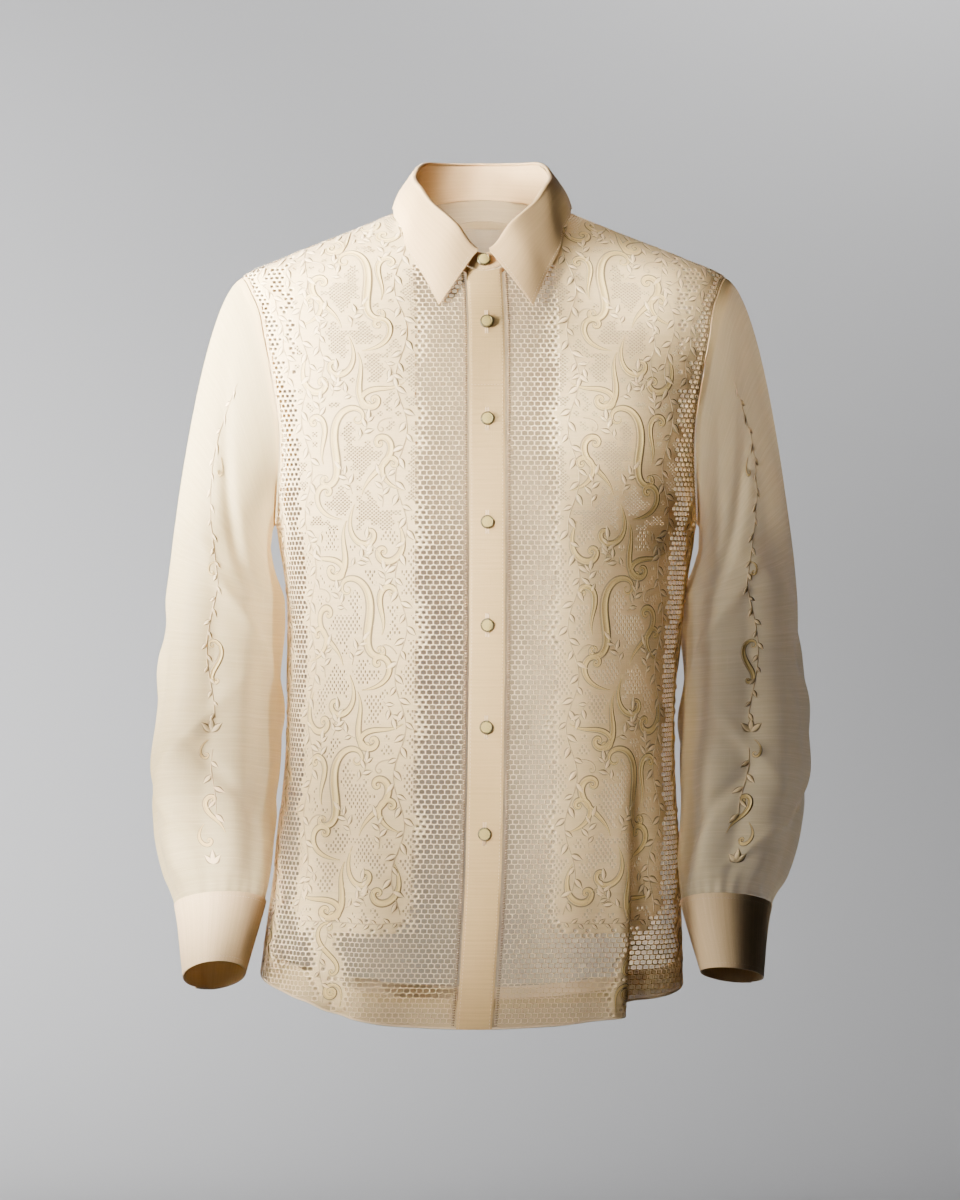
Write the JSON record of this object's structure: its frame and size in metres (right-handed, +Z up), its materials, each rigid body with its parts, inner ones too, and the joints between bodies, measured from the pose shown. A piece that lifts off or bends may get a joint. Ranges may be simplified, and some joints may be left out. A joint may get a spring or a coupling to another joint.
{
  "type": "barong tagalog shirt",
  "caption": "Long-sleeved sheer formal shirt with netted, embroidered fronts, a pointed collar, a button band to the hem and stiff plain cuffs, in the filled-out form it has when worn.",
  "frame": {"origin": "middle of the neck opening, level with the points where the shoulder seams meet the collar", "axes": "+Z up along the wearer's body, -Y out of the front, +X towards the wearer's left"},
  "size_m": [0.6266, 0.2512, 0.8193],
  "materials": {
    "calado_cream": "matt openwork net with raised embroidery",
    "jusi_cream": "sheer slubbed weave",
    "plain_ecru": "stiff plain weave",
    "antique_brass": "darkened metal rim round a cream face"
  },
  "bodies": {
    "root": {"front_right": "calado_cream", "front_left": "calado_cream", "back": "jusi_cream", "yoke": "jusi_cream", "sleeve_right": "jusi_cream", "sleeve_left": "jusi_cream", "cuff_right": "plain_ecru", "cuff_left": "plain_ecru", "collar_stand": "plain_ecru", "collar": "plain_ecru", "placket_top": "plain_ecru", "placket": "plain_ecru", "button_1": "antique_brass", "button_2": "antique_brass", "button_3": "antique_brass", "button_4": "antique_brass", "button_5": "antique_brass", "button_6": "antique_brass", "button_7": "antique_brass", "cuff_button_right": "antique_brass", "cuff_button_left": "antique_brass"}
  },
  "joints": []
}
